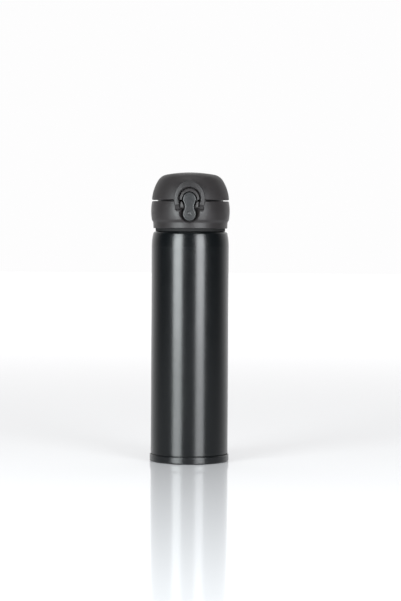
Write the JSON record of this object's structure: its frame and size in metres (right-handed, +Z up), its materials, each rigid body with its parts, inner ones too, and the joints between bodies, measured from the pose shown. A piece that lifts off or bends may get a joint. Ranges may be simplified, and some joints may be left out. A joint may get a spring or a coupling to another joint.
{
  "type": "vacuum flask",
  "caption": "Black half-litre vacuum flask with a flip-up drinking lid, front push button and lock ring.",
  "frame": {"origin": "bottle axis at the plane the base cap stands on", "axes": "+Z up along the bottle axis; the push button and lock ring face -Y; the lid's hinge is at +Y"},
  "size_m": [0.0666, 0.0711, 0.2432],
  "materials": {
    "shell_paint": "satin black baked paint on stainless steel",
    "steel": "bare stainless steel, brushed inside the bottle",
    "foil": "thin bright foil",
    "solder": "dull bead",
    "moulding": "fine spark-eroded texture, charcoal black",
    "inner_moulding": "smooth satin, black",
    "silicone": "matte silicone, pale grey",
    "spring_steel": "drawn wire"
  },
  "bodies": {
    "flask": {"outer_shell": "shell_paint", "inner_liner": "steel", "reflector_foil": "foil", "vacuum_base": "steel", "evacuation_seal": "solder", "getter": "steel", "base_cap": "shell_paint"},
    "neck_seal": {"neck_gasket": "silicone"},
    "cap_unit": {"threaded_collar": "inner_moulding", "drinking_spout": "inner_moulding", "cap_cover": "moulding", "hinge_pin": "steel", "latch_pin": "steel", "lid_spring": "spring_steel", "button_spring": "spring_steel"},
    "lid": {"lid_shell": "moulding", "lid_liner": "inner_moulding", "spout_seal": "silicone"},
    "push_button": {"push_button": "moulding"},
    "lock_ring": {"lock_ring": "moulding"}
  },
  "joints": [
    {"name": "cap_rise", "type": "slide", "parent": "flask", "child": "neck_seal", "axis": [0, 0, 1], "range_m": [0, 0.016]},
    {"name": "cap_unscrew", "type": "hinge", "parent": "neck_seal", "child": "cap_unit", "pos_m": [0, 0, 0.2], "axis": [0, 0, 1], "range_deg": [0, 1440]},
    {"name": "lid_flip", "type": "hinge", "parent": "cap_unit", "child": "lid", "pos_m": [0, 0.0336, 0.2194], "axis": [-1, 0, 0], "range_deg": [0, 110], "deforming": ["lid_spring"]},
    {"name": "button_press", "type": "hinge", "parent": "cap_unit", "child": "push_button", "pos_m": [0, -0.0316, 0.2134], "axis": [1, 0, 0], "range_deg": [0, 8], "stiffness_Nm_per_rad": 0.1, "springref_deg": -5.73, "deforming": ["button_spring"]},
    {"name": "lock_ring_swing", "type": "hinge", "parent": "cap_unit", "child": "lock_ring", "pos_m": [0, -0.0316, 0.2134], "axis": [1, 0, 0], "range_deg": [0, 95]}
  ],
  "couplings": [
    {"joint": "cap_rise", "follows": "cap_unscrew", "m_per_rad": 0.00063662}
  ]
}
